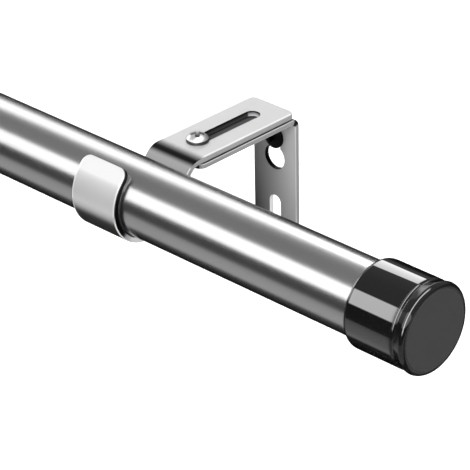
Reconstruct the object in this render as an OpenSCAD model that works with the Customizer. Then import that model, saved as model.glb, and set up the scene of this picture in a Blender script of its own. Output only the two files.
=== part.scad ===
// Extendable curtain rod on two adjustable wall brackets.
// Millimetres. X runs along the rod, Y points into the wall, Z points up.
// The origin lies on the wall, midway between the two wall screws.

/* [Rod] */
// Length of the closed rod over both end caps
closed_len = 711; // [700:1:900]
// How far the inner tube pulls out of the outer one
pull_out = 508; // [300:1:510]
// Length of inner tube still held when it is pulled right out
held_len = 80; // [60:1:150]
// Distance from the face of each end cap to the middle of its bracket
bracket_inset = 132.5; // [80:0.5:200]

/* [Tubes] */
// Outside diameter of the outer tube
outer_od = 25.4; // [22:0.1:32]
// Wall of the outer tube
outer_wall = 0.8; // [0.6:0.1:1.2]
// Space all round between the outer and the inner tube
tube_gap = 0.8; // [0.6:0.05:1.6]
// Wall of the inner tube
inner_wall = 0.7; // [0.5:0.1:1.2]
// Clearance all round where one piece slides on another
run_fit = 0.1; // [0.05:0.01:0.1]

/* [Mouth ring and glide plug] */
// Length of the ring that lines the mouth of the outer tube
ring_len = 14; // [8:1:30]
// Thickness of the ring's flange over the end of the tube
flange_t = 1.5; // [1:0.1:3]
// Length of the glide plug's collar that runs in the outer tube
glide_len = 9; // [6:1:20]
// Length of the glide plug's shank inside the inner tube
shank_len = 16; // [10:1:30]
// Wall of the glide plug's hollow shank
shank_wall = 1.6; // [1.2:0.1:3]

/* [End caps] */
// Length of an end cap
cap_len = 24.4; // [18:0.1:40]
// Thickness of the cap's side wall
cap_wall = 2.05; // [1.9:0.05:3]
// Thickness of the cap's end wall, with its disc
cap_face_t = 2.5; // [2:0.1:5]
// Length of the flared rim at the front of the cap
rim_len = 4.5; // [4:0.1:7]
// How far the rim stands out past the body of the cap
rim_rise = 0.3; // [0.1:0.05:0.8]
// Radius of the rounded front edge
front_round = 1.75; // [1:0.05:1.8]
// Radius of the rounded rear edge
rear_round = 1.7; // [1:0.1:1.8]
// Depth of the groove behind the rim
groove_depth = 0.4; // [0.1:0.05:0.5]
// Radius of the groove's section
groove_r = 1.1; // [0.3:0.05:1.5]
// Thickness of the flat disc pressed into the face of the cap
disc_t = 1.0; // [0.8:0.1:1.5]
// Air left between the end of a tube and the end wall of its cap
end_gap = 0.2; // [0.1:0.05:1]

/* [Arm with hook] */
// Width of the strap that the arm is bent from
strap_w = 20; // [17:0.5:26]
// Thickness of the strap
strap_t = 2.1; // [1.5:0.1:3]
// Inside radius of the bend between the arm and its hook
bend_r = 5; // [3:0.5:7]
// Height of the arm's top face over the axis of the rod
arm_rise = 5.4; // [4:0.1:8]
// Clearance all round between the rod and its cradle
hook_fit = 0.2; // [0.1:0.05:0.5]
// How far the mouth of the hook leans back from upright, in degrees
hook_tilt = 40; // [35:1:45]
// Length of the straight lip in front of the rod
lip_len = 5.5; // [4:0.5:7]
// Corner radius at the tip of the lip
tip_r = 3.5; // [1:0.5:5]
// Corner radius at the back end of the arm
back_r = 2.5; // [1:0.5:6]

/* [Slot and its screw] */
// Width of the slot in the arm
slot_w = 5.4; // [4.8:0.1:6]
// How far the arm slides out
arm_travel = 26.5; // [15:0.5:40]
// Flat length of arm from the bend to the slot's front centre
slot_margin = 9.0; // [8:0.1:15]
// Flat length of arm behind the slot's rear centre
rear_land = 10.9; // [8:0.1:20]
// Diameter of the adjusting screw
screw_d = 4; // [3:0.1:4.2]
// Diameter of the adjusting screw's head
head_d = 7.9; // [7:0.1:10]
// Height of the adjusting screw's head
head_h = 3.1; // [2.2:0.1:4]
// Air left under the head of the screw, slack enough for the arm to slide
slack = 0.05; // [0.02:0.01:0.3]
// Width of the lock nut across its flats
nut_af = 7; // [6.5:0.1:9]
// Thickness of the lock nut
nut_t = 3.2; // [2.4:0.1:5]

/* [Wall plate] */
// Thickness of the wall plate and its leg
plate_t = 1.9; // [1.2:0.1:2.5]
// Height of the wall plate
plate_h = 56; // [52:1:80]
// Inside radius of the plate's bend
plate_bend_r = 1.2; // [0.6:0.1:2]
// Corner radius of the plate and of its leg
plate_r = 3; // [1:0.5:5]
// Air left between the leg and the arm above it
leg_gap = 0.6; // [0.1:0.05:0.8]
// Air left between the back end of the closed arm and the wall
back_gap = 2.0; // [1:0.1:3]
// Height of the plate's top over the seat of its keyhole
key_drop = 9.7; // [9:0.1:12]
// Drop from the keyhole's seat to the middle of its round opening
key_run = 8.2; // [7:0.1:10]
// Width of the keyhole's neck
neck_w = 5; // [4.6:0.1:6]
// Diameter of the keyhole's round opening
key_d = 9; // [8.8:0.1:10]
// Drop from the keyhole's seat to the upper centre of the lower slot
low_slot_drop = 25.9; // [20:0.1:28]
// Width of the lower slot
low_slot_w = 5; // [4:0.1:6]
// Distance between the two centres of the lower slot
low_slot_run = 8; // [4:0.5:10]

/* [Wall screw] */
// Diameter of the wall screw over its thread
wall_screw_d = 4; // [3.5:0.1:4.4]
// Diameter of the plain neck between the wall screw's thread and its head
wall_neck_d = 3.2; // [2.8:0.1:3.6]
// Diameter of the wall screw's head
wall_head_d = 8.7; // [7.5:0.1:9]
// Height of the wall screw's head
wall_head_h = 2.2; // [1.8:0.1:3]
// Depth that the wall screw reaches into the wall
wall_screw_reach = 10; // [9:1:35]

/* [Hidden] */
$fn = 72;
eps = 0.01;
corner_nudge = 0.002;

// Tubes: each inner size follows from the one around it
outer_r = outer_od / 2;
bore_r = outer_r - outer_wall;
inner_r = bore_r - tube_gap;
inner_bore_r = inner_r - inner_wall;

// Stations along the rod
face_x = closed_len / 2;
cap_rear_x = face_x - cap_len;
tube_end_x = face_x - cap_face_t - end_gap;
seat_gap = 1;
mouth_x = -cap_rear_x + seat_gap + flange_t;
inner_end_x = mouth_x + pull_out + held_len;
bracket_x = face_x - bracket_inset;

// Caps
cap_bore_r = outer_r + run_fit;
cap_r = cap_bore_r + cap_wall;
// The disc meets the rim where the rounding of the front edge begins
disc_r = cap_r + rim_rise - front_round;

// Hook profile: y is measured from the rod's axis towards the wall, z from the axis up
cradle_r = outer_r + hook_fit;
cradle_or = cradle_r + strap_t;
bend_or = bend_r + strap_t;
bend_z = arm_rise - bend_or;
bend_y = (cradle_r + bend_or + bend_z * sin(hook_tilt)) / cos(hook_tilt);
rear_leg_len = bend_y * sin(hook_tilt) + bend_z * cos(hook_tilt);
// Length of rear leg drawn with the arm, and again with the cradle, so that the two overlap
leg_lap = rear_leg_len * 0.6;

// Stations of the arm, from the rod's axis towards the wall
screw_y = bend_y + slot_margin;
slot_end_y = screw_y + arm_travel;
arm_end_y = slot_end_y + rear_land;
reach = arm_end_y + back_gap;

// Heights over the keyhole's seat, and the place of the rod's axis
leg_top_z = key_drop;
arm_under_z = leg_top_z + leg_gap;
arm_top_z = arm_under_z + strap_t;
axis_z = arm_top_z - arm_rise;
axis_y = -reach;
screw_at_y = axis_y + screw_y;
leg_front_y = axis_y + bend_y;
plate_or = plate_bend_r + plate_t;

// Colours
nickel = "lightgray";
satin = "silver";
black = "#161616";
matt_black = "#404040";
nylon = "#d8d6cf";
zinc = "gainsboro";

// Puts a profile drawn in y and z across the rod, extruded along X and centred on it
module across(width) {
    rotate([90, 0, 90])
        linear_extrude(height = width, center = true)
            children();
}

// What is cut off a square corner at the origin to leave a round one of radius r.
// The round stands out by a hair, so that it crosses the two sides instead of only touching them.
module corner_cut(r, h) {
    difference() {
        translate([-r, -r, -h / 2])
            cube([r + 1, r + 1, h]);
        translate([corner_nudge - r, corner_nudge - r, -h])
            cylinder(r = r, h = 2 * h);
    }
}

// Slot between two centres along Y, cut through the thickness h about z = 0
module slot_cut(width, run, h) {
    for (y = [0, run])
        translate([0, y, -h / 2])
            cylinder(d = width, h = h);
    translate([-width / 2, 0, -h / 2])
        cube([width, run, h]);
}

// Cross recess in the top of a screw head, cut down from z = 0
module cross_recess(span, depth) {
    for (a = [0, 90])
        rotate([0, 0, a])
            translate([-span / 2, -span / 9, -depth])
                cube([span, span * 2 / 9, depth + 1]);
    translate([0, 0, -depth * 1.25])
        cylinder(r1 = span / 9, r2 = span / 3.4, h = depth * 1.25 + eps);
}

// Domed screw head standing on z = 0
module dome_head(d, h) {
    rim = h * 0.3;
    dome = h - rim;
    ball_r = (d * d / 4 + dome * dome) / (2 * dome);
    intersection() {
        cylinder(d = d, h = h);
        translate([0, 0, h - ball_r])
            sphere(r = ball_r);
    }
}

// Region under the arm and behind the hook's rear leg, its corner rounded to r
module under_arm(r, low, run) {
    translate([bend_y, bend_z]) {
        circle(r = r);
        translate([0, -low])
            square([arm_end_y - bend_y + run, r + low]);
        rotate(-hook_tilt)
            translate([-r, -leg_lap - run])
                square([r + low, leg_lap + run]);
    }
}

// Region round the rod, open upwards and back, with its sides run up to the given height
module round_rod(r, top) {
    rotate(-hook_tilt) {
        circle(r = r);
        translate([-r, 0])
            square([2 * r, top]);
    }
}

// Bent outline of the strap: arm, bend and upper rear leg, then lower rear leg, cradle and lip
module strap_profile() {
    difference() {
        under_arm(bend_or, bend_r, 0);
        under_arm(bend_r, 2 * bend_or, 1);
    }
    difference() {
        round_rod(cradle_or, leg_lap);
        round_rod(cradle_r, 2 * cradle_or);
        rotate(-hook_tilt)
            translate([-cradle_or - 1, lip_len])
                square([cradle_or + 1, leg_lap]);
    }
}

// One arm, bent from a single strap, with its slot and rounded ends
module arm_piece() {
    difference() {
        across(strap_w)
            strap_profile();
        translate([0, screw_y, arm_rise - strap_t / 2])
            slot_cut(slot_w, arm_travel, strap_t * 2);
        for (side = [-1, 1]) {
            translate([side * strap_w / 2, arm_end_y, arm_rise - strap_t / 2])
                rotate([0, 0, side > 0 ? 0 : 90])
                    corner_cut(back_r, strap_t * 2);
            rotate([-hook_tilt, 0, 0])
                translate([side * strap_w / 2, -cradle_r - strap_t / 2, lip_len])
                    rotate([90, side > 0 ? 0 : -90, 0])
                        corner_cut(tip_r, strap_t * 2);
        }
    }
}

// Region in front of and under the plate's faces, with the bend at its upper corner rounded to r
module under_plate(r, inset, run) {
    low = leg_top_z - plate_h;
    translate([-plate_or, leg_top_z - plate_or])
        circle(r = r);
    translate([leg_front_y - run, leg_top_z - 2 * plate_or])
        square([-plate_or - leg_front_y + run, 2 * plate_or - inset]);
    translate([-2 * plate_or, low - run])
        square([2 * plate_or - inset, plate_h - plate_or + run]);
}

// Bent outline of the wall plate, with y towards the wall and z up
module plate_profile() {
    difference() {
        under_plate(plate_or, 0, 0);
        under_plate(plate_bend_r, plate_t, 1);
        translate([leg_front_y - 1, leg_top_z - plate_h - 1])
            square([-plate_or - leg_front_y + 1, plate_h - plate_or + 1]);
    }
}

// Wall plate with its leg, keyhole, lower slot and screw hole
module wall_plate_piece() {
    through = plate_t * 3;
    difference() {
        across(strap_w)
            plate_profile();
        translate([0, -plate_t / 2, 0])
            rotate([90, 0, 0])
                translate([0, -key_run, 0])
                    slot_cut(neck_w, key_run, through);
        translate([0, -plate_t / 2 + through / 2, -key_run])
            rotate([90, 0, 0])
                cylinder(d = key_d, h = through);
        translate([0, -plate_t / 2, -low_slot_drop - low_slot_run])
            rotate([90, 0, 0])
                slot_cut(low_slot_w, low_slot_run, through);
        translate([0, screw_at_y, leg_top_z - plate_t * 2])
            cylinder(d = screw_d + 4 * run_fit, h = plate_t * 3);
        for (side = [-1, 1]) {
            translate([side * strap_w / 2, -plate_t / 2, leg_top_z - plate_h])
                rotate([90, side > 0 ? 90 : 180, 0])
                    corner_cut(plate_r, through);
            translate([side * strap_w / 2, leg_front_y, leg_top_z - plate_t / 2])
                rotate([0, 0, side > 0 ? -90 : 180])
                    corner_cut(plate_r, through);
        }
    }
}

// Screw that clamps the arm to the leg, with its axis on Z at the origin of the plate
module adjusting_screw_piece() {
    head_z = arm_top_z + slack;
    point_z = leg_top_z - plate_t - nut_t - 1;
    translate([0, screw_at_y, 0]) {
        difference() {
            translate([0, 0, head_z])
                dome_head(head_d, head_h);
            translate([0, 0, head_z + head_h])
                rotate([0, 0, 20])
                    cross_recess(head_d * 0.52, head_h * 0.45);
        }
        translate([0, 0, point_z + 0.5])
            cylinder(d = screw_d, h = head_z - point_z - 0.5 + eps);
        translate([0, 0, point_z])
            cylinder(d1 = screw_d - 1, d2 = screw_d, h = 0.5);
    }
}

module lock_nut_piece() {
    translate([0, screw_at_y, leg_top_z - plate_t - nut_t])
        difference() {
            intersection() {
                cylinder(d = nut_af / cos(30), h = nut_t, $fn = 6);
                translate([0, 0, -nut_af])
                    cylinder(r1 = nut_af * 1.5, r2 = nut_af / 2 - 0.6, h = nut_t + nut_af * 1.6);
            }
            translate([0, 0, -1])
                cylinder(d = screw_d + run_fit, h = nut_t + 2);
        }
}

// Wall screw through the seat of the keyhole, head on the plate
module wall_screw_piece() {
    point_len = wall_screw_d * 1.2;
    rotate([90, 0, 0]) {
        difference() {
            translate([0, 0, plate_t])
                dome_head(wall_head_d, wall_head_h);
            translate([0, 0, plate_t + wall_head_h])
                cross_recess(wall_head_d * 0.5, wall_head_h * 0.5);
        }
        cylinder(d = wall_neck_d, h = plate_t + eps);
        translate([0, 0, point_len - wall_screw_reach])
            cylinder(d = wall_screw_d, h = wall_screw_reach - point_len);
        translate([0, 0, -wall_screw_reach])
            cylinder(d1 = 0.6, d2 = wall_screw_d, h = point_len);
    }
}

module tube(r_out, r_in, from, to) {
    translate([from, 0, 0])
        rotate([0, 90, 0])
            difference() {
                cylinder(r = r_out, h = to - from, $fn = 120);
                translate([0, 0, -1])
                    cylinder(r = r_in, h = to - from + 2, $fn = 120);
            }
}

// Outline of an end cap for turning: x is the radius, y runs from the open end to the face
module cap_outline() {
    rim_r = cap_r + rim_rise;
    neck_y = cap_len - rim_len;
    difference() {
        union() {
            square([cap_r, neck_y]);
            polygon([[0, neck_y], [cap_r - groove_depth / 2, neck_y], [rim_r, cap_len - front_round],
                [rim_r - front_round, cap_len], [0, cap_len]]);
            translate([rim_r - front_round, cap_len - front_round])
                circle(r = front_round);
        }
        translate([cap_r + groove_r - groove_depth, neck_y])
            circle(r = groove_r);
        translate([0, -1])
            square([cap_bore_r, cap_len - cap_face_t + 1]);
        translate([0, cap_len - disc_t])
            square([disc_r, disc_t + 1]);
        difference() {
            translate([cap_r - rear_round, -1])
                square([rear_round + 1, rear_round + 1]);
            translate([cap_r - rear_round, rear_round])
                circle(r = rear_round);
        }
    }
}

// End cap with its open end at the origin and its face towards +X
module end_cap_piece() {
    rotate([0, 90, 0])
        rotate_extrude($fn = 120)
            cap_outline();
}

module on_rod_axis() {
    translate([0, axis_y, axis_z])
        children();
}

module at_bracket(side) {
    translate([side * bracket_x, 0, 0])
        children();
}

module outer_tube() {
    color(nickel)
        on_rod_axis()
            tube(outer_r, bore_r, mouth_x, tube_end_x);
}

module inner_tube() {
    color(nickel)
        on_rod_axis()
            tube(inner_r, inner_bore_r, -tube_end_x, inner_end_x);
}

// Plastic ring that lines the mouth of the outer tube
module mouth_ring() {
    color(nylon)
        on_rod_axis() {
            tube(bore_r, inner_r + run_fit, mouth_x - eps, mouth_x + ring_len);
            tube(outer_r, inner_r + run_fit, mouth_x - flange_t, mouth_x);
        }
}

// Plastic plug on the hidden end of the inner tube, slotted so that it springs a little
module glide_plug() {
    collar_r = bore_r - run_fit;
    shank_r = inner_bore_r - shank_wall;
    color(nylon)
        on_rod_axis()
            difference() {
                union() {
                    tube(inner_bore_r, shank_r, inner_end_x - shank_len, inner_end_x + eps);
                    tube(collar_r, shank_r, inner_end_x, inner_end_x + glide_len);
                }
                for (a = [0, 90])
                    translate([inner_end_x + glide_len / 3, 0, 0])
                        rotate([a, 0, 0])
                            translate([0, -1, -collar_r - 1])
                                cube([glide_len, 2, 2 * collar_r + 2]);
            }
}

// Split sleeve that brings the inner tube up to the bore of its end cap
module reducer_sleeve() {
    from = -tube_end_x;
    to = from + cap_len - cap_face_t - end_gap;
    color(nylon)
        on_rod_axis()
            difference() {
                tube(outer_r, inner_r, from, to);
                translate([from - 1, -1, 0])
                    cube([to - from + 2, 2, outer_r + 1]);
            }
}

// Flat disc that fills the recess in the face of an end cap
module cap_disc_piece() {
    translate([face_x - disc_t, 0, 0])
        rotate([0, 90, 0])
            cylinder(r = disc_r, h = disc_t, $fn = 120);
}

module end_cap_right() {
    color(black)
        on_rod_axis()
            translate([cap_rear_x, 0, 0])
                end_cap_piece();
}

module end_cap_left() {
    color(black)
        on_rod_axis()
            mirror([1, 0, 0])
                translate([cap_rear_x, 0, 0])
                    end_cap_piece();
}

module cap_disc_right() {
    color(matt_black)
        on_rod_axis()
            cap_disc_piece();
}

module cap_disc_left() {
    color(matt_black)
        on_rod_axis()
            mirror([1, 0, 0])
                cap_disc_piece();
}

module arm_right() {
    color(satin)
        at_bracket(1)
            on_rod_axis()
                arm_piece();
}

module arm_left() {
    color(satin)
        at_bracket(-1)
            on_rod_axis()
                arm_piece();
}

module adjusting_screw_right() {
    color(zinc)
        at_bracket(1)
            adjusting_screw_piece();
}

module adjusting_screw_left() {
    color(zinc)
        at_bracket(-1)
            adjusting_screw_piece();
}

module lock_nut_right() {
    color(zinc)
        at_bracket(1)
            lock_nut_piece();
}

module lock_nut_left() {
    color(zinc)
        at_bracket(-1)
            lock_nut_piece();
}

module wall_plate_right() {
    color(satin)
        at_bracket(1)
            wall_plate_piece();
}

module wall_plate_left() {
    color(satin)
        at_bracket(-1)
            wall_plate_piece();
}

module wall_screw_right() {
    color(black)
        at_bracket(1)
            wall_screw_piece();
}

module wall_screw_left() {
    color(black)
        at_bracket(-1)
            wall_screw_piece();
}

outer_tube();
inner_tube();
mouth_ring();
glide_plug();
end_cap_right();
end_cap_left();
cap_disc_right();
cap_disc_left();
reducer_sleeve();
arm_right();
arm_left();
adjusting_screw_right();
adjusting_screw_left();
lock_nut_right();
lock_nut_left();
wall_plate_right();
wall_plate_left();
wall_screw_right();
wall_screw_left();
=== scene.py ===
import math

import bpy
import bmesh
from mathutils import Matrix, Vector


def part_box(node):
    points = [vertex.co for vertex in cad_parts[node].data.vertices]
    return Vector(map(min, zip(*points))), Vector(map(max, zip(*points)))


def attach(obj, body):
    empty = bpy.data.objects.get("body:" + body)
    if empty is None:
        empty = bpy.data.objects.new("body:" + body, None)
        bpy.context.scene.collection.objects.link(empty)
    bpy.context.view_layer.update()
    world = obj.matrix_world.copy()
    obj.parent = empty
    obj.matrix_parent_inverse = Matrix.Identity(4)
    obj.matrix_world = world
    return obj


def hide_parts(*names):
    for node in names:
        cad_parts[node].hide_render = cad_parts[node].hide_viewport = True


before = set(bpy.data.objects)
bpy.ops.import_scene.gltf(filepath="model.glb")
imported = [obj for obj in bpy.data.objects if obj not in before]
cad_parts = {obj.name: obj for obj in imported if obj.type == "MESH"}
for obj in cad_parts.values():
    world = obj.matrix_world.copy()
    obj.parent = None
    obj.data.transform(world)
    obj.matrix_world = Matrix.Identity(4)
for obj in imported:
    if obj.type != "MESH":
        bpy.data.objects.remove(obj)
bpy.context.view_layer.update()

# Room and camera. The rod hangs far above a pale floor, in front of white paper.
# Two long soft boxes run along the rod, one low in front and one high behind it,
# and the camera looks down at the right bracket from the front right, as the photograph does.
mm = 0.001
scene = bpy.context.scene
scene.view_settings.view_transform = "Standard"

camera_place = Vector((771.8, -580.88, 404.7)) * mm
camera_right = Vector((0.72019, 0.69353, -0.01821))
camera_up = Vector((-0.32583, 0.36128, 0.87367))
camera_back = Vector((0.61250, -0.62328, 0.48616))
lens_data = bpy.data.cameras.new("long_lens")
lens_data.lens = 197.15
lens_data.sensor_width = 36.0
lens_data.clip_start = 0.05
lens_data.clip_end = 60.0
camera = bpy.data.objects.new("camera", lens_data)
scene.collection.objects.link(camera)
turn = Matrix((camera_right, camera_up, camera_back)).transposed()
camera.matrix_world = Matrix.Translation(camera_place) @ turn.to_4x4()
scene.camera = camera


def add_node(tree, kind, **settings):
    """One node of a tree, with its settings and the values of its unlinked sockets."""
    made = tree.nodes.new(kind)
    for key, value in settings.items():
        if key == "sockets":
            for socket, number in value.items():
                made.inputs[socket].default_value = number
        else:
            setattr(made, key, value)
    return made


def math_node(tree, operation, first, second=None, clamp=False):
    """A Math node whose two inputs are sockets or numbers; gives back its output."""
    made = add_node(tree, "ShaderNodeMath", operation=operation, use_clamp=clamp)
    for slot_number, given in enumerate((first, second)):
        if given is None:
            continue
        if isinstance(given, (int, float)):
            made.inputs[slot_number].default_value = given
        else:
            tree.links.new(given, made.inputs[slot_number])
    return made.outputs[0]


def level_curve(tree, given, pairs, top):
    """The level that a socket's value meets along (value, level) pairs. A colour ramp holds each level
    as a share of the top."""
    first, last = pairs[0][0], pairs[-1][0]
    share = add_node(tree, "ShaderNodeMapRange", sockets={"From Min": first, "From Max": last})
    tree.links.new(given, share.inputs["Value"])
    ramp = add_node(tree, "ShaderNodeValToRGB")
    tree.links.new(share.outputs[0], ramp.inputs[0])
    stops = ramp.color_ramp.elements
    stops.remove(stops[0])
    for number, (value, level) in enumerate(pairs):
        spot = (value - first) / (last - first)
        stop = stops[0] if number == 0 else stops.new(spot)
        stop.position = spot
        stop.color = (level / top,) * 3 + (1,)
    return math_node(tree, "MULTIPLY", ramp.outputs[0], top)


# How bright the room is round the rod, as (degrees, level) pairs: 0 degrees is straight in front, 90 is
# straight up, 180 is straight behind and -90 is straight down. Two soft boxes stand out of it, and a
# pale board lies low in front.
room_levels = (
    (-180, 0.02), (-165, 0.01), (-150, 0), (-100, 0.01), (-88, 0.05), (-79, 0.06), (-26.5, 0.09),
    (-12, 0.05), (13, 0.05), (47, 0.26), (60, 0.275), (90, 0.28), (112, 0.33), (124, 0.35),
    (155, 0.34), (166, 0.28), (174, 0.10), (180, 0.01))
box_top = 8.0
front_box_levels = ((-180, 0), (12.2, 0), (13.6, 6.5), (48.6, 6.5), (50, 0), (180, 0))
rear_box_levels = ((-180, 0), (90, 0), (91, 6.7), (130, 6.7), (156, 7.1), (157.6, 0), (180, 0))
board_levels = (
    (-180, 0), (-76, 0), (-72, 0.65), (-66, 1.0), (-60, 0.87), (-38, 0.8), (-29, 0.63), (-26, 0.5),
    (-24.5, 0), (180, 0))
# The share of the boxes and of the board that is lit, from the far left (-1) to the far right (1).
# The whole of them is lit along one stretch, which the right end cap mirrors to the camera.
box_shares = (
    (-1, 0.3), (-0.93, 0.3), (-0.91, 0.06), (-0.815, 0.03), (-0.785, 0.32), (-0.62, 0.32),
    (-0.6, 0.2), (-0.585, 0.2), (-0.575, 0), (-0.53, 0), (-0.49, 0.25), (1, 0.25))
board_shares = (
    (-1, 0.3), (-0.93, 0.3), (-0.91, 0.06), (-0.815, 0.06), (-0.785, 0.56), (-0.585, 0.56),
    (-0.575, 0), (-0.53, 0), (-0.49, 0.4), (1, 0.4))
full_from = -0.58
full_to = -0.5449
full_sharpness = 700.0
# The rear box narrows to the right. Its upper edge lies at rear_edge_middle degrees square to the rod
# and comes down by rear_edge_drop degrees from there to the far right. The box's lower part is dimmer
# outside the full stretch.
rear_edge_middle = 181.0
rear_edge_drop = 100.0
rear_edge_sharpness = 0.7
rear_fade = ((-180, 1), (138, 1), (156, 0.3), (180, 0.3))
# A low light stands behind and below the rod, mostly on the right, for views from behind
wall_light_levels = ((-180, 0.12), (-165, 0.2), (-152, 0.5), (-112, 0.5), (-98, 0.12), (-90, 0), (180, 0))
wall_light_shares = ((-1, 0), (-0.46, 0), (-0.38, 0.14), (0.3, 0.14), (0.45, 1), (1, 1))
# A pale board closes the far left, and a tall window stands on the right
end_top = 7.5
end_levels = ((-1, 4), (-0.92, 4), (-0.9, 0), (0.1, 0), (0.13, 7.5), (0.44, 7.5), (0.47, 0), (1, 0))
end_window = ((-180, 0), (-5, 0), (5, 1), (115, 1), (125, 0), (180, 0))
world = bpy.data.worlds.new("studio")
world.use_nodes = True
scene.world = world
sky = world.node_tree
sky.nodes.clear()


def times(first, second, clamp=False):
    """The product of two of the studio's values."""
    return math_node(sky, "MULTIPLY", first, second, clamp)


def plus(first, second):
    """The sum of two of the studio's values."""
    return math_node(sky, "ADD", first, second)


def minus(first, second):
    """The difference of two of the studio's values."""
    return math_node(sky, "SUBTRACT", first, second)


ray = add_node(sky, "ShaderNodeTexCoord")
parts = add_node(sky, "ShaderNodeSeparateXYZ")
sky.links.new(ray.outputs["Generated"], parts.inputs[0])
sideways = parts.outputs["X"]
towards_front = times(parts.outputs["Y"], -1.0)
angle = times(math_node(sky, "ARCTAN2", parts.outputs["Z"], towards_front), math.degrees(1))


def round_rod(pairs, top=1.0):
    """A level or share by the angle round the rod."""
    return level_curve(sky, angle, pairs, top)


def along_rod(pairs, top=1.0):
    """A level or share from the far left to the far right."""
    return level_curve(sky, sideways, pairs, top)


past_start = times(minus(sideways, full_from), full_sharpness, clamp=True)
before_end = times(minus(full_to, sideways), full_sharpness, clamp=True)
full_stretch = times(past_start, before_end)
rear_edge = plus(times(sideways, rear_edge_drop), rear_edge_middle)
past_edge = times(minus(angle, rear_edge), rear_edge_sharpness, clamp=True)
front_box = round_rod(front_box_levels, box_top)
rear_box = times(round_rod(rear_box_levels, box_top), past_edge)
box_share = along_rod(box_shares)
rear_share = times(box_share, round_rod(rear_fade))
lit_front = times(front_box, plus(box_share, full_stretch))
lit_rear = times(rear_box, plus(rear_share, full_stretch))
board = times(round_rod(board_levels), plus(along_rod(board_shares), full_stretch))
wall_light = times(round_rod(wall_light_levels), along_rod(wall_light_shares))
ends = times(along_rod(end_levels, end_top), round_rod(end_window))
low_lights = plus(board, wall_light)
studio = plus(plus(round_rod(room_levels), low_lights), plus(plus(lit_front, lit_rear), ends))
studio_light = add_node(sky, "ShaderNodeBackground")
sky.links.new(studio, studio_light.inputs["Strength"])
paper = add_node(sky, "ShaderNodeBackground", sockets={"Color": (1, 1, 1, 1), "Strength": 1.0})
path = add_node(sky, "ShaderNodeLightPath")
which = add_node(sky, "ShaderNodeMixShader")
sky.links.new(path.outputs["Is Camera Ray"], which.inputs[0])
sky.links.new(studio_light.outputs[0], which.inputs[1])
sky.links.new(paper.outputs[0], which.inputs[2])
world_out = add_node(sky, "ShaderNodeOutputWorld")
sky.links.new(which.outputs[0], world_out.inputs["Surface"])

# A wide soft lamp at the front right gives the painted and moulded pieces their plain level
lamp_data = bpy.data.lights.new("front_soft_lamp", "AREA")
lamp_data.shape = "SQUARE"
lamp_data.size = 1.0
lamp_data.energy = 15.0
lamp = bpy.data.objects.new("front_soft_lamp", lamp_data)
lamp_place = Vector((1.1, -1.3, 1.2))
lamp_aim = Vector((0.2, 0, 0)) - lamp_place
lamp_turn = lamp_aim.to_track_quat("-Z", "Y").to_matrix().to_4x4()
lamp.matrix_world = Matrix.Translation(lamp_place) @ lamp_turn
lamp.visible_glossy = False
lamp.visible_camera = False
scene.collection.objects.link(lamp)

# The floor is lifted a little for the camera only, so that it looks as pale as the paper
floor_drop = 1.3
floor_half = 7.0
floor_lift = 0.3
floor_mesh = bpy.data.meshes.new("studio_floor")
floor_mesh.from_pydata([(-floor_half, -floor_half, -floor_drop), (floor_half, -floor_half, -floor_drop),
                        (floor_half, floor_half, -floor_drop), (-floor_half, floor_half, -floor_drop)],
                       [], [(0, 1, 2, 3)])
floor = bpy.data.objects.new("studio_floor", floor_mesh)
scene.collection.objects.link(floor)
floor_paint = bpy.data.materials.new("pale_floor")
floor_paint.use_nodes = True
tree = floor_paint.node_tree
tree.nodes.clear()
pale = add_node(tree, "ShaderNodeBsdfDiffuse", sockets={"Color": (0.9, 0.9, 0.9, 1)})
lift = add_node(tree, "ShaderNodeEmission", sockets={"Color": (1, 1, 1, 1)})
path = add_node(tree, "ShaderNodeLightPath")
camera_lift = math_node(tree, "MULTIPLY", path.outputs["Is Camera Ray"], floor_lift)
tree.links.new(camera_lift, lift.inputs["Strength"])
both = add_node(tree, "ShaderNodeAddShader")
tree.links.new(pale.outputs[0], both.inputs[0])
tree.links.new(lift.outputs[0], both.inputs[1])
tree.links.new(both.outputs[0], add_node(tree, "ShaderNodeOutputMaterial").inputs["Surface"])
floor_mesh.materials.append(floor_paint)
floor.visible_glossy = False


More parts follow.
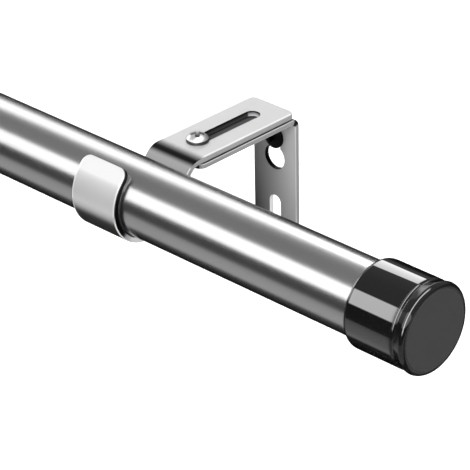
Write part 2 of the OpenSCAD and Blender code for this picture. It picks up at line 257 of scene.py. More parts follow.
# Outer tube. Thin steel tube, rolled, welded, polished and nickel plated, then cut square
# and lightly deburred. The mouth ring sits in its left end and the right cap goes over the other.
def tube_tree():
    """Geometry Nodes: a ring or tube along X, swept from a rounded section, split if asked."""
    made = bpy.data.node_groups.new("swept_tube", "GeometryNodeTree")
    face = made.interface
    for name, kind, value in (
            ("Outer Radius", "NodeSocketFloat", 0.0127), ("Wall", "NodeSocketFloat", 0.0008),
            ("Length", "NodeSocketFloat", 0.1), ("Edge Radius", "NodeSocketFloat", 0.0002),
            ("Split Angle", "NodeSocketFloat", 0.0), ("Steps", "NodeSocketInt", 128),
            ("Place", "NodeSocketVector", None), ("Finish", "NodeSocketMaterial", None)):
        socket = face.new_socket(name=name, in_out="INPUT", socket_type=kind)
        if value is not None:
            socket.default_value = value
    face.new_socket(name="Geometry", in_out="OUTPUT", socket_type="NodeSocketGeometry")
    given = add_node(made, "NodeGroupInput").outputs
    half_wall = math_node(made, "MULTIPLY", given["Wall"], 0.5)
    mean = math_node(made, "SUBTRACT", given["Outer Radius"], half_wall)
    circle = add_node(made, "GeometryNodeCurvePrimitiveCircle")
    arc = add_node(made, "GeometryNodeCurveArc")
    for curve in (circle, arc):
        made.links.new(given["Steps"], curve.inputs["Resolution"])
        made.links.new(mean, curve.inputs["Radius"])
    made.links.new(math_node(made, "MULTIPLY", given["Split Angle"], 0.5), arc.inputs["Start Angle"])
    made.links.new(math_node(made, "SUBTRACT", 2 * math.pi, given["Split Angle"]), arc.inputs["Sweep Angle"])
    split = add_node(made, "GeometryNodeSwitch", input_type="GEOMETRY")
    made.links.new(math_node(made, "GREATER_THAN", given["Split Angle"], 0.0001), split.inputs["Switch"])
    made.links.new(circle.outputs[0], split.inputs["False"])
    made.links.new(arc.outputs[0], split.inputs["True"])
    section = add_node(made, "GeometryNodeCurvePrimitiveQuadrilateral")
    made.links.new(given["Wall"], section.inputs["Width"])
    made.links.new(given["Length"], section.inputs["Height"])
    eased = add_node(made, "GeometryNodeFilletCurve", mode="POLY", sockets={"Count": 4})
    made.links.new(section.outputs[0], eased.inputs["Curve"])
    made.links.new(given["Edge Radius"], eased.inputs["Radius"])
    swept = add_node(made, "GeometryNodeCurveToMesh", sockets={"Fill Caps": True})
    made.links.new(split.outputs[0], swept.inputs["Curve"])
    made.links.new(eased.outputs[0], swept.inputs["Profile Curve"])
    laid = add_node(made, "GeometryNodeTransform", sockets={"Rotation": (0, math.pi / 2, 0)})
    made.links.new(swept.outputs[0], laid.inputs["Geometry"])
    made.links.new(given["Place"], laid.inputs["Translation"])
    real = add_node(made, "GeometryNodeRealizeInstances")
    made.links.new(laid.outputs[0], real.inputs[0])
    coat = add_node(made, "GeometryNodeSetMaterial")
    made.links.new(real.outputs[0], coat.inputs["Geometry"])
    made.links.new(given["Finish"], coat.inputs["Material"])
    made.links.new(coat.outputs[0], add_node(made, "NodeGroupOutput").inputs[0])
    return made


def grown(name, group, **values):
    """The plain mesh that a Geometry Nodes tree makes from the given values."""
    carrier = bpy.data.objects.new(name, bpy.data.meshes.new(name + "_seed"))
    scene.collection.objects.link(carrier)
    grower = carrier.modifiers.new("grower", "NODES")
    grower.node_group = group
    for item in group.interface.items_tree:
        key = item.name.replace(" ", "_").lower()
        if item.in_out == "INPUT" and key in values:
            grower[item.identifier] = values[key]
    seen = carrier.evaluated_get(bpy.context.evaluated_depsgraph_get())
    mesh = bpy.data.meshes.new_from_object(seen)
    carrier.modifiers.remove(grower)
    bpy.data.objects.remove(carrier)
    mesh.name = name
    return mesh


# Points nearer than weld are merged, and an edge whose two faces turn by crease or more stays sharp
weld = 1e-7
crease = math.radians(50.0)


def settled(name, mesh, finish):
    """An object at the origin for a finished mesh: merged, facing outwards, smooth with true flats."""
    work = bmesh.new()
    work.from_mesh(mesh)
    bmesh.ops.remove_doubles(work, verts=work.verts, dist=weld)
    bmesh.ops.dissolve_degenerate(work, edges=work.edges, dist=weld)
    bmesh.ops.recalc_face_normals(work, faces=work.faces)
    for face in work.faces:
        face.smooth = True
    for edge in work.edges:
        edge.smooth = len(edge.link_faces) != 2 or edge.calc_face_angle() < crease
    work.to_mesh(mesh)
    work.free()
    mesh.name = name
    mesh.materials.clear()
    mesh.materials.append(finish)
    made = bpy.data.objects.new(name, mesh)
    scene.collection.objects.link(made)
    weighted = made.modifiers.new("true_flats", "WEIGHTED_NORMAL")
    weighted.mode = "FACE_AREA"
    weighted.weight = 100
    weighted.keep_sharp = True
    return made


def stand_in(piece, node, body):
    """The piece takes a CAD node's place and its body: the node is hidden and the piece is hung on the body.
    """
    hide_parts(node)
    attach(piece, body)


def polish_and_painted_light_group():
    """Shader group: uneven polish, fine drawn lines, and how bright the painted shade and painted highlights
    stored on a piece leave the metal.
    """
    made = bpy.data.node_groups.new("uneven_polish", "ShaderNodeTree")
    face = made.interface
    for name, value in (("Cloud Scale", 60.0), ("Line Scale", 900.0), ("Line Stretch", 0.02)):
        face.new_socket(name=name, in_out="INPUT", socket_type="NodeSocketFloat").default_value = value
    for name in ("Cloud", "Lines", "Brightness"):
        face.new_socket(name=name, in_out="OUTPUT", socket_type="NodeSocketFloat")
    given = add_node(made, "NodeGroupInput").outputs
    where = add_node(made, "ShaderNodeTexCoord")
    cloud = add_node(made, "ShaderNodeTexNoise", sockets={"Detail": 4.0, "Roughness": 0.55})
    made.links.new(where.outputs["Object"], cloud.inputs["Vector"])
    made.links.new(given["Cloud Scale"], cloud.inputs["Scale"])
    drawn = add_node(made, "ShaderNodeMapping")
    made.links.new(where.outputs["Object"], drawn.inputs["Vector"])
    stretch = add_node(made, "ShaderNodeCombineXYZ", sockets={"Y": 1.0, "Z": 1.0})
    made.links.new(given["Line Stretch"], stretch.inputs["X"])
    made.links.new(stretch.outputs[0], drawn.inputs["Scale"])
    lines = add_node(made, "ShaderNodeTexNoise", sockets={"Detail": 3.0, "Roughness": 0.6})
    made.links.new(drawn.outputs[0], lines.inputs["Vector"])
    made.links.new(given["Line Scale"], lines.inputs["Scale"])
    out = add_node(made, "NodeGroupOutput")
    for source, name in ((cloud, "Cloud"), (lines, "Lines")):
        signed = math_node(made, "SUBTRACT", source.outputs[0], 0.5)
        made.links.new(math_node(made, "MULTIPLY", signed, 2.0), out.inputs[name])
    # Each piece carries its painted shade and painted highlights as an attribute: 1 is black, below 0 is
    # brighter
    painted_light = add_node(made, "ShaderNodeAttribute", attribute_type="GEOMETRY", attribute_name="painted_light")
    made.links.new(math_node(made, "SUBTRACT", 1.0, painted_light.outputs["Fac"]), out.inputs["Brightness"])
    return made


uneven_polish = polish_and_painted_light_group()


def finish_material(name, colour, colour_play, roughness, roughness_play, line_depth,
                    cloud_scale=60.0, line_scale=900.0, line_stretch=0.02, **constants):
    """A Principled finish with uneven polish in its colour and roughness, painted shade and painted
    highlights in its colour, and fine lines in its relief.
    """
    made = bpy.data.materials.new(name)
    made.use_nodes = True
    tree = made.node_tree
    shader = tree.nodes["Principled BSDF"]
    for socket, value in constants.items():
        shader.inputs[socket.replace("_", " ").title().replace("Ior", "IOR")].default_value = value
    polish = add_node(tree, "ShaderNodeGroup", node_tree=uneven_polish)
    polish.inputs["Cloud Scale"].default_value = cloud_scale
    polish.inputs["Line Scale"].default_value = line_scale
    polish.inputs["Line Stretch"].default_value = line_stretch
    tone = add_node(tree, "ShaderNodeMapRange",
                    sockets={"From Min": -1.0, "From Max": 1.0,
                             "To Min": 1 - colour_play, "To Max": 1 + colour_play})
    tree.links.new(polish.outputs["Cloud"], tone.inputs["Value"])
    tinted = add_node(tree, "ShaderNodeVectorMath", operation="SCALE",
                      sockets={0: (colour[0], colour[1], colour[2])})
    tree.links.new(math_node(tree, "MULTIPLY", tone.outputs[0], polish.outputs["Brightness"]),
                   tinted.inputs["Scale"])
    tree.links.new(tinted.outputs[0], shader.inputs["Base Color"])
    rub = add_node(tree, "ShaderNodeMapRange",
                   sockets={"From Min": -1.0, "From Max": 1.0,
                            "To Min": roughness - roughness_play, "To Max": roughness + roughness_play})
    tree.links.new(polish.outputs["Cloud"], rub.inputs["Value"])
    tree.links.new(rub.outputs[0], shader.inputs["Roughness"])
    relief = add_node(tree, "ShaderNodeBump", sockets={"Strength": 1.0, "Distance": line_depth})
    tree.links.new(polish.outputs["Lines"], relief.inputs["Height"])
    tree.links.new(relief.outputs[0], shader.inputs["Normal"])
    return made


polished_nickel = finish_material(
    "polished_nickel", (0.6, 0.6, 0.6), colour_play=0.02, roughness=0.235, roughness_play=0.015,
    line_depth=2e-7, cloud_scale=25.0, line_scale=700.0, line_stretch=0.01, metallic=1.0)
swept_tube = tube_tree()
outer_low, outer_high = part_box("outer_tube")
rod_y = (outer_low.y + outer_high.y) / 2
rod_z = (outer_low.z + outer_high.z) / 2
outer_radius = (outer_high.z - outer_low.z) / 2
outer_wall = 0.8 * mm
cut_edge = 0.15 * mm
outer_mesh = grown("outer_tube_skin", swept_tube, outer_radius=outer_radius, wall=outer_wall,
                   length=outer_high.x - outer_low.x, edge_radius=cut_edge, steps=160,
                   place=((outer_low.x + outer_high.x) / 2, rod_y, rod_z), finish=polished_nickel)
outer_skin = settled("outer_tube_skin", outer_mesh, polished_nickel)
stand_in(outer_skin, "outer_tube", "thick_tube")


# Mouth ring. White nylon moulding pressed into the outer tube's mouth; its flange covers
# the cut end of the steel, and the inner tube runs in its bore.
def turned(name, outline, place, finish, steps=96, closed=True):
    """A piece turned about the local X axis from an outline of (station, radius) points."""
    work = bmesh.new()
    rings = []
    for station, radius in outline:
        if radius < 1e-9:
            rings.append([work.verts.new(place @ Vector((station, 0, 0)))])
            continue
        rings.append([work.verts.new(place @ Vector((station, radius * math.cos(2 * math.pi * k / steps),
                                                     radius * math.sin(2 * math.pi * k / steps))))
                      for k in range(steps)])
    pairs = list(zip(rings, rings[1:]))
    if closed:
        pairs.append((rings[-1], rings[0]))
    for one, other in pairs:
        for k in range(steps):
            corners = [one[k % len(one)], one[(k + 1) % len(one)],
                       other[(k + 1) % len(other)], other[k % len(other)]]
            kept = [v for i, v in enumerate(corners) if v not in corners[:i]]
            if len(kept) > 2:
                work.faces.new(kept)
    mesh = bpy.data.meshes.new(name)
    work.to_mesh(mesh)
    work.free()
    return settled(name, mesh, finish)


def eased(corners, steps=5, closed=True):
    """A flat outline from corners (x, y, corner radius), each corner rounded to its radius."""
    points = []
    last = len(corners) - 1
    for number, (x, y, radius) in enumerate(corners):
        if radius <= 0 or (not closed and number in (0, last)):
            points.append((x, y))
            continue
        corner = Vector((x, y))
        before = (Vector(corners[number - 1][:2]) - corner).normalized()
        after = (Vector(corners[(number + 1) % len(corners)][:2]) - corner).normalized()
        half = before.angle(after) / 2
        centre = corner + (before + after).normalized() * (radius / math.sin(half))
        start = corner + before * (radius / math.tan(half)) - centre
        end = corner + after * (radius / math.tan(half)) - centre
        sweep = math.atan2(start.x * end.y - start.y * end.x, start.dot(end))
        for k in range(steps + 1):
            a = sweep * k / steps
            points.append((centre.x + start.x * math.cos(a) - start.y * math.sin(a),
                           centre.y + start.x * math.sin(a) + start.y * math.cos(a)))
    return points


nylon = finish_material(
    "white_nylon", (0.76, 0.755, 0.73), colour_play=0.03, roughness=0.42, roughness_play=0.05,
    line_depth=2e-6, cloud_scale=220.0, line_scale=500.0, line_stretch=1.0,
    specular_ior_level=0.5, subsurface_weight=0.0)
ring_low, ring_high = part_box("mouth_ring")
inner_low, inner_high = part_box("inner_tube")
inner_radius = (inner_high.z - inner_low.z) / 2
run_fit = 0.1 * mm
flange = 1.5 * mm
ring_edge = 0.35 * mm
ring_outline = eased([
    (ring_low.x, inner_radius + run_fit, ring_edge), (ring_low.x, outer_radius, ring_edge),
    (ring_low.x + flange, outer_radius, 0), (ring_low.x + flange, outer_radius - outer_wall, 0),
    (ring_high.x, outer_radius - outer_wall, ring_edge / 2),
    (ring_high.x, inner_radius + run_fit, ring_edge / 2)])
on_rod = Matrix.Translation((0, rod_y, rod_z))
ring_piece = turned("mouth_ring_moulding", ring_outline, on_rod, nylon)
stand_in(ring_piece, "mouth_ring", "thick_tube")


# Glide plug. White nylon plug, moulded and pressed into the hidden end of the inner tube, where it
# guides that end inside the outer tube. It stays as modelled and is given its finish.
def coat_node(node, finish):
    """A CAD node that stays as it is gets the finish in its material slots."""
    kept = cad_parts[node].data.materials
    kept.clear()
    kept.append(finish)


coat_node("glide_plug", nylon)

# Inner tube. Rolled and welded steel tube, one size down, polished, nickel plated and cut square
# like the outer one. It slides in the mouth ring and carries the glide plug, the sleeve and its cap.
inner_wall = 0.7 * mm
inner_mesh = grown("inner_tube_skin", swept_tube, outer_radius=inner_radius, wall=inner_wall,
                   length=inner_high.x - inner_low.x, edge_radius=cut_edge, steps=160,
                   place=((inner_low.x + inner_high.x) / 2, rod_y, rod_z), finish=polished_nickel)
inner_skin = settled("inner_tube_skin", inner_mesh, polished_nickel)
stand_in(inner_skin, "inner_tube", "thin_tube")

# Reducer sleeve. White nylon, moulded as a split ring and pushed on the left end of the inner tube,
# which it brings up to the bore of the cap.
sleeve_low, sleeve_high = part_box("reducer_sleeve")
sleeve_gap = 2.0 * mm
sleeve_edge = 0.25 * mm
sleeve_mesh = grown("reducer_sleeve_strip", swept_tube, outer_radius=outer_radius,
                    wall=outer_radius - inner_radius, length=sleeve_high.x - sleeve_low.x,
                    edge_radius=sleeve_edge, split_angle=sleeve_gap / outer_radius, steps=96,
                    place=((sleeve_low.x + sleeve_high.x) / 2, rod_y, rod_z), finish=nylon)
sleeve_piece = settled("reducer_sleeve_strip", sleeve_mesh, nylon)
stand_in(sleeve_piece, "reducer_sleeve", "thin_tube")

# End caps. Round cups in hard gloss black, with a flared rim behind a fine groove.
# Each slides over its end of the rod and is held by friction.
gloss_black = finish_material(
    "gloss_black", (0.003, 0.003, 0.003), colour_play=0.2, roughness=0.02, roughness_play=0.005,
    line_depth=1e-7, cloud_scale=40.0, line_scale=300.0, line_stretch=1.0, ior=1.77)
cap_low, cap_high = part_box("end_cap_right")
cap_length = cap_high.x - cap_low.x
rim_radius = (cap_high.z - cap_low.z) / 2
rim_rise = 0.3 * mm
rim_length = 4.5 * mm
cap_body_radius = rim_radius - rim_rise
cap_bore = outer_radius + run_fit
front_round = 1.75 * mm
rear_round = 1.7 * mm
end_wall = 2.5 * mm
disc_thickness = 1.0 * mm
disc_radius = rim_radius - front_round
neck = cap_length - rim_length
groove_radius = 1.1 * mm
groove_depth = 0.4 * mm
# Where the groove's round section meets the cap's side, and where it meets the flare
groove_rise = groove_radius - groove_depth
groove_start = math.acos(groove_rise / groove_radius)
flare_start = math.radians(32.0)
front_steps = 12
groove_steps = 10
rear_steps = 10
# The outline runs from the recess in the face over the rounded front into the groove, then along the
# side to the rounded mouth and back through the bore
front = [(cap_length - disc_thickness, 0.0), (cap_length - disc_thickness, disc_radius),
         (cap_length, disc_radius)]
for k in range(1, front_steps + 1):
    a = math.pi / 2 * k / front_steps
    front.append((cap_length - front_round + front_round * math.cos(a),
                  rim_radius - front_round + front_round * math.sin(a)))
groove = []
for k in range(groove_steps + 1):
    a = flare_start - (flare_start + groove_start) * k / groove_steps
    groove.append((neck + groove_radius * math.sin(a),
                   cap_body_radius + groove_rise - groove_radius * math.cos(a)))
rear = []
for k in range(rear_steps + 1):
    a = math.pi / 2 * k / rear_steps
    rear.append((rear_round - rear_round * math.sin(a),
                 cap_body_radius - rear_round + rear_round * math.cos(a)))
bore = [(0.0, cap_bore), (cap_length - end_wall, cap_bore), (cap_length - end_wall, 0.0)]
cap_outline = front + groove + rear + bore
for side, facing in (("right", 1), ("left", -1)):
    cap_mouth = facing * (cap_high.x - cap_length)
    mirrored = Matrix.Scale(facing, 4, (1, 0, 0))
    place = Matrix.Translation((cap_mouth, rod_y, rod_z)) @ mirrored
    cap_piece = turned(f"end_cap_{side}_cup", cap_outline, place, gloss_black, steps=128, closed=False)
    stand_in(cap_piece, f"end_cap_{side}", "cap_r" if facing > 0 else "cap_l")

# Cap discs. Flat matt black discs that fill the recess in the face of each cap,
# with a sharp edge against the gloss rim.
matt_black = finish_material(
    "matt_black", (0.038, 0.038, 0.038), colour_play=0.04, roughness=0.62, roughness_play=0.04,
    line_depth=1e-6, cloud_scale=300.0, line_scale=2500.0, line_stretch=1.0, specular_ior_level=0.3)
disc_edge = 0.12 * mm
disc_play = 0.04 * mm
seen_radius = disc_radius - disc_play
for side, facing in (("right", 1), ("left", -1)):
    disc_outline = eased([(disc_thickness, 0.0, 0), (disc_thickness, seen_radius, disc_edge),
                          (0.0, seen_radius, 0), (0.0, 0.0, 0)], steps=3, closed=False)
    disc_back = facing * (cap_high.x - disc_thickness)
    mirrored = Matrix.Scale(facing, 4, (1, 0, 0))
    place = Matrix.Translation((disc_back, rod_y, rod_z)) @ mirrored
    disc_piece = turned(f"cap_disc_{side}_face", disc_outline, place, matt_black, steps=128, closed=False)
    stand_in(disc_piece, f"cap_disc_{side}", "cap_r" if facing > 0 else "cap_l")


# Wall plates. Each is a flat blank punched from zinc plated steel strip with a keyhole, a slot
# and a screw hole, its corners rounded, and folded once into an upright plate and a forward leg.
def punched_blank(loops, thickness, edge):
    """A flat blank in millimetres, x across and y along the strip, with punched and eased edges."""
    curve = bpy.data.curves.new("blank", "CURVE")
    curve.dimensions = "2D"
    curve.fill_mode = "BOTH"
    curve.extrude = thickness / 2 - edge
    curve.bevel_depth = edge
    curve.bevel_resolution = 2
    curve.offset = -edge
    for loop in loops:
        spline = curve.splines.new("POLY")
        spline.points.add(len(loop) - 1)
        for point, (x, y) in zip(spline.points, loop):
            point.co = (x, y, 0, 1)
        spline.use_cyclic_u = True
    carrier = bpy.data.objects.new("blank", curve)
    scene.collection.objects.link(carrier)
    seen = carrier.evaluated_get(bpy.context.evaluated_depsgraph_get())
    mesh = bpy.data.meshes.new_from_object(seen)
    bpy.data.objects.remove(carrier)
    bpy.data.curves.remove(curve)
    return mesh


def swell(value, centre, half):
    """A soft hump: 1 at the centre, 0 at half its width and beyond."""
    away = abs(value - centre) / half
    return (1 + math.cos(math.pi * away)) / 2 if away < 1 else 0.0


def ease(value, low, high):
    """A soft step from 0 at low to 1 at high, whichever of the two is larger."""
    share = min(1.0, max(0.0, (value - low) / (high - low)))
    return share * share * (3 - 2 * share)


def zone_of(flat_face, strip_length):
    """Which part of a punched blank a face belongs to: its face, a punched wall, an eased rim or a side."""
    middle = flat_face.calc_center_median()
    upright = abs(flat_face.normal.z)
    if upright > face_upright:
        return "face"
    if abs(middle.x) < punched_half and punched_margin < middle.y < strip_length - punched_margin:
        return "punched"
    return "rim" if upright > rim_upright else "side"


def folded(name, blank, start, heading, moves, across, finish, painted_light):
    """Folds a blank along its length: moves are (length, 0) straights or (mean radius, degrees) bends.
    Each corner of its faces gets the painted shade or painted highlight that its zone and place on the blank
    give."""
    work = bmesh.new()
    work.from_mesh(blank)
    bmesh.ops.remove_doubles(work, verts=work.verts, dist=blank_weld)
    legs = []
    at, aim, run = Vector(start), math.radians(heading), 0.0
    for size, degrees in moves:
        bend = math.radians(degrees)
        length = abs(size * bend) if degrees else size
        legs.append((run, length, at.copy(), aim, size, bend))
        if degrees:
            turn_side = math.copysign(1, bend)
            centre = at + size * turn_side * Vector((-math.sin(aim), math.cos(aim)))
            aim += bend
            at = centre - size * turn_side * Vector((-math.sin(aim), math.cos(aim)))
            cuts = max(2, int(abs(degrees) / bend_pitch))
            lines = [run + length * k / cuts for k in range(cuts + 1)]
        else:
            at = at + length * Vector((math.cos(aim), math.sin(aim)))
            rows = math.ceil(length / row_pitch)
            lines = [run + length * (k + 1) / rows for k in range(rows)]
        run += length
        for line in lines:
            bmesh.ops.bisect_plane(work, geom=work.verts[:] + work.edges[:] + work.faces[:],
                                   dist=touching, plane_co=(0, line, 0), plane_no=(0, 1, 0))
    for x in column_cuts:
        bmesh.ops.bisect_plane(work, geom=work.verts[:] + work.edges[:] + work.faces[:],
                               dist=touching, plane_co=(x, 0, 0), plane_no=(1, 0, 0))
    work.normal_update()
    painted_light_layer = work.loops.layers.float.new("painted_light")
    for face in work.faces:
        zone = zone_of(face, run)
        for loop in face.loops:
            loop[painted_light_layer] = painted_light(zone, *loop.vert.co)
    for vertex in work.verts:
        x, along, out = vertex.co
        begin, length, place, aim, size, bend = next(
            (leg for leg in legs if along <= leg[0] + leg[1] + touching), legs[-1])
        step = along - begin
        if bend:
            turn_side = math.copysign(1, bend)
            centre = place + size * turn_side * Vector((-math.sin(aim), math.cos(aim)))
            aim += turn_side * step / size
            spot = centre - size * turn_side * Vector((-math.sin(aim), math.cos(aim)))
        else:
            spot = place + step * Vector((math.cos(aim), math.sin(aim)))
        spot = spot + out * Vector((math.sin(aim), -math.cos(aim)))
        vertex.co = (across + x * mm, spot.x * mm, spot.y * mm)
    mesh = bpy.data.meshes.new(name)
    work.to_mesh(mesh)
    work.free()
    return settled(name, mesh, finish)


def round_loop(x, y, radius, first=0.0, last=360.0, steps=32):
    """Points on a circle between two angles; a full turn's last point is left out."""
    count = steps if last - first >= 360 else steps + 1
    return [(x + radius * math.cos(math.radians(first + (last - first) * k / steps)),
             y + radius * math.sin(math.radians(first + (last - first) * k / steps))) for k in range(count)]


def slot_loop(width, near, far, steps=16):
    """A slot's outline round two centres on the strip's middle line."""
    return round_loop(0, far, width / 2, 0, 180, steps) + round_loop(0, near, width / 2, 180, 360, steps)


satin_zinc = finish_material(
    "satin_zinc", (0.39, 0.39, 0.39), colour_play=0.03, roughness=0.40, roughness_play=0.03,
    line_depth=1.5e-6, cloud_scale=90.0, line_scale=420.0, line_stretch=0.25, metallic=0.4,
    specular_ior_level=0.1)
# Straight parts are cut into rows of at most row_pitch and bends into steps of about bend_pitch
# degrees. Punched walls lie within punched_half of the middle line and further than punched_margin
# from both ends. A face belongs to the flat or to an eased rim if its normal is this upright. The painted
# highlight along an arm's edges starts at the inner and is brightest from the outer of the two widths given
# for it.
# A blank's sizes are in millimetres, and so are these two gaps, which count as none.
blank_weld = 1e-5
touching = 1e-6
row_pitch = 2.5
bend_pitch = 4.0
punched_half = 6.6
punched_margin = 0.6
face_upright = 0.9
rim_upright = 0.25
edge_highlight_inside = 9.2
edge_highlight_outside = 9.7
column_cuts = (-edge_highlight_inside, -8, -6, -4, -2, 0, 2, 4, 6, 8, edge_highlight_inside)
strap_width = 20.0
strap_edge = 0.3
corner = strap_width / 2
plate_low, plate_high = (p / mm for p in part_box("wall_plate_right"))
bracket_x = (plate_low.x + plate_high.x) / 2 * mm
plate_thickness = 1.9
plate_bend = 1.2
plate_mean = plate_bend + plate_thickness / 2
plate_corner = 3.0
leg_run = plate_high.y - plate_bend - plate_thickness - plate_low.y
fold_run = plate_mean * math.pi / 2
plate_run = plate_high.z - plate_bend - plate_thickness - plate_low.z
flat_from = leg_run + fold_run


def along_plate(height):
    """Distance along the strip of a height on the upright plate; the keyhole's seat is at height zero."""
    return flat_from + (plate_high.z - plate_bend - plate_thickness) - height


screw_low, screw_high = (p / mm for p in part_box("adjusting_screw_right"))
screw_y = (screw_low.y + screw_high.y) / 2
plate_outline = eased([(-corner, 0, plate_corner), (corner, 0, plate_corner),
                       (corner, flat_from + plate_run, plate_corner),
                       (-corner, flat_from + plate_run, plate_corner)], steps=10)
neck_half = 2.5
lobe_radius = 4.5
lobe_drop = 8.2
meet = math.degrees(math.acos(neck_half / lobe_radius))
key_loop = (round_loop(0, along_plate(0), neck_half, 180, 360, 16)
            + round_loop(0, along_plate(-lobe_drop), lobe_radius, -meet, 180 + meet, 30))
low_slot_width = 5.0
low_slot_top = -25.9
low_slot_foot = -33.9
low_slot = slot_loop(low_slot_width, along_plate(low_slot_top), along_plate(low_slot_foot))
screw_hole_radius = 2.2
screw_hole = round_loop(0, screw_y - plate_low.y, screw_hole_radius)
# How much painted shade or painted highlight each part of a plate gets: 0 is the plain finish, 1 is black,
# below 0 is a painted highlight, as on the eased rims. Punched walls get painted shade, but the lower
# slot's, below the height wall_change, get a painted highlight. The sides, the leg's cut end and the leg's
# top under the arm get painted shade. The painted dark reflection on the crest fades in and out by degrees
# round the fold.
dark_wall = 1.0
low_slot_wall = -1.2
wall_change = -20
fold_crest = 0.98
crest_seen = 0.1
leg_end = 0.95
plate_side = 0.15
plate_rim = -0.5
leg_painted_shade = 0.75
# The upright's painted shade on its middle line, upright_spot under the fold, and how much it grows with
# each millimetre to the left and each millimetre downwards
upright_level = 0.37
upright_spot = 20
growth_left = 0.036
growth_down = 0.012


def plate_painted_light(zone, x, along, out):
    """The painted shade or painted highlight of a spot on a plate: its place on the blank, and out from the
    blank's middle layer.
    """
    # Painted shade on the punched walls, and a painted highlight on the lower slot's walls
    if zone == "punched":
        return low_slot_wall if along > along_plate(wall_change) else dark_wall
    fold_angle = math.degrees((along - leg_run) / plate_mean)
    # Painted dark reflection across the crest of the fold
    crest = fold_crest * ease(fold_angle, 5, 25) * ease(fold_angle, 88, 62)
    # Painted shade on the sides, most on the leg's cut end, and a painted highlight on the eased rims
    if zone == "side":
        return leg_end if along < punched_margin else max(plate_side, crest)
    if zone == "rim":
        return crest if crest > crest_seen else plate_rim
    # Painted shade on the leg's top under the arm
    if out < 0:
        return max(crest, leg_painted_shade * ease(along, flat_from, leg_run))
    # Painted shade on the upright's front face, growing to the left and downwards
    fade = ease(along, flat_from, flat_from + 3)
    below_spot = along - flat_from - upright_spot
    return max(crest, fade * (upright_level - growth_left * x + growth_down * below_spot))


for side, facing in (("right", 1), ("left", -1)):
    blank = punched_blank([plate_outline, key_loop, low_slot, screw_hole], plate_thickness, strap_edge)
    plate_piece = folded(f"wall_plate_{side}_fold", blank,
                         (plate_low.y, plate_high.z - plate_thickness / 2), 0,
                         ((leg_run, 0), (plate_mean, -90), (plate_run, 0)),
                         facing * bracket_x, satin_zinc, plate_painted_light)
    stand_in(plate_piece, f"wall_plate_{side}", "brackets")

# Wall screws. Black steel pan head screws with a cross recess, driven through the keyhole's seat
# until the head lies on the plate; the point and thread are in the wall behind.
black_screw = finish_material(
    "black_screw", (0.003, 0.003, 0.003), colour_play=0.1, roughness=0.5, roughness_play=0.05,
    line_depth=1e-6, cloud_scale=500.0, line_scale=1500.0, line_stretch=1.0, specular_ior_level=0.08)


def thread_tree():
    """Geometry Nodes: a screw thread along Z, a four cornered ridge wound round and half sunk in a core."""
    made = bpy.data.node_groups.new("wound_thread", "GeometryNodeTree")
    face = made.interface
    for name, kind, value in (
            ("Core Radius", "NodeSocketFloat", 0.0017), ("Ridge", "NodeSocketFloat", 0.0003),
            ("Pitch", "NodeSocketFloat", 0.0007), ("Length", "NodeSocketFloat", 0.006),
            ("End Core Radius", "NodeSocketFloat", 0.0017), ("Finish", "NodeSocketMaterial", None)):
        socket = face.new_socket(name=name, in_out="INPUT", socket_type=kind)
        if value is not None:
            socket.default_value = value
    face.new_socket(name="Geometry", in_out="OUTPUT", socket_type="NodeSocketGeometry")
    given = add_node(made, "NodeGroupInput").outputs
    turns = math_node(made, "DIVIDE", given["Length"], given["Pitch"])
    coil = add_node(made, "GeometryNodeCurveSpiral", sockets={"Resolution": 24})
    made.links.new(turns, coil.inputs["Rotations"])
    made.links.new(given["Core Radius"], coil.inputs["Start Radius"])
    made.links.new(given["End Core Radius"], coil.inputs["End Radius"])
    made.links.new(given["Length"], coil.inputs["Height"])
    ridge = add_node(made, "GeometryNodeCurvePrimitiveCircle", sockets={"Resolution": 4})
    made.links.new(given["Ridge"], ridge.inputs["Radius"])
    wound = add_node(made, "GeometryNodeCurveToMesh", sockets={"Fill Caps": True})
    made.links.new(coil.outputs[0], wound.inputs["Curve"])
    made.links.new(ridge.outputs[0], wound.inputs["Profile Curve"])
    real = add_node(made, "GeometryNodeRealizeInstances")
    made.links.new(wound.outputs[0], real.inputs[0])
    coat = add_node(made, "GeometryNodeSetMaterial")
    made.links.new(real.outputs[0], coat.inputs["Geometry"])
    made.links.new(given["Finish"], coat.inputs["Material"])
    made.links.new(coat.outputs[0], add_node(made, "NodeGroupOutput").inputs[0])
    return made


def cross_cutter(span, depth):
    """A cross of the span at z = 0 that narrows down to its depth and widens up to the same height.
    Its wing is half the width of one of its four arms."""
    reach = span / 2
    wing = span / 6.5
    above_share = 1.35
    foot_share = 0.34
    cross = [(reach, -wing), (reach, wing), (wing, wing), (wing, reach), (-wing, reach), (-wing, wing),
             (-reach, wing), (-reach, -wing), (-wing, -wing), (-wing, -reach), (wing, -reach), (wing, -wing)]
    corners = len(cross)
    work = bmesh.new()
    layers = []
    for height, share in ((depth, above_share), (0.0, 1.0), (-depth, foot_share)):
        layers.append([work.verts.new((x * share, y * share, height)) for x, y in cross])
    for low, high in zip(layers, layers[1:]):
        for k in range(corners):
            work.faces.new((low[k], low[(k + 1) % corners], high[(k + 1) % corners], high[k]))
    work.faces.new(layers[0])
    work.faces.new(layers[-1])
    bmesh.ops.recalc_face_normals(work, faces=work.faces)
    mesh = bpy.data.meshes.new("cross_cutter")
    work.to_mesh(mesh)
    work.free()
    return mesh


# Painted shade in a screw's recess and on its rim, and the share of the head's radius where the rim starts.
# A face of the recess lies above recess_floor depths and is either steep, with the cosine of its
# slope to the dome under recess_slope, or more than recess_sunk depths under the dome.
recess_painted_shade = 0.8
head_rim_painted_shade = 0.88
rim_from = 0.94
recess_floor = 1.05
recess_slope = 0.9
recess_sunk = 0.4


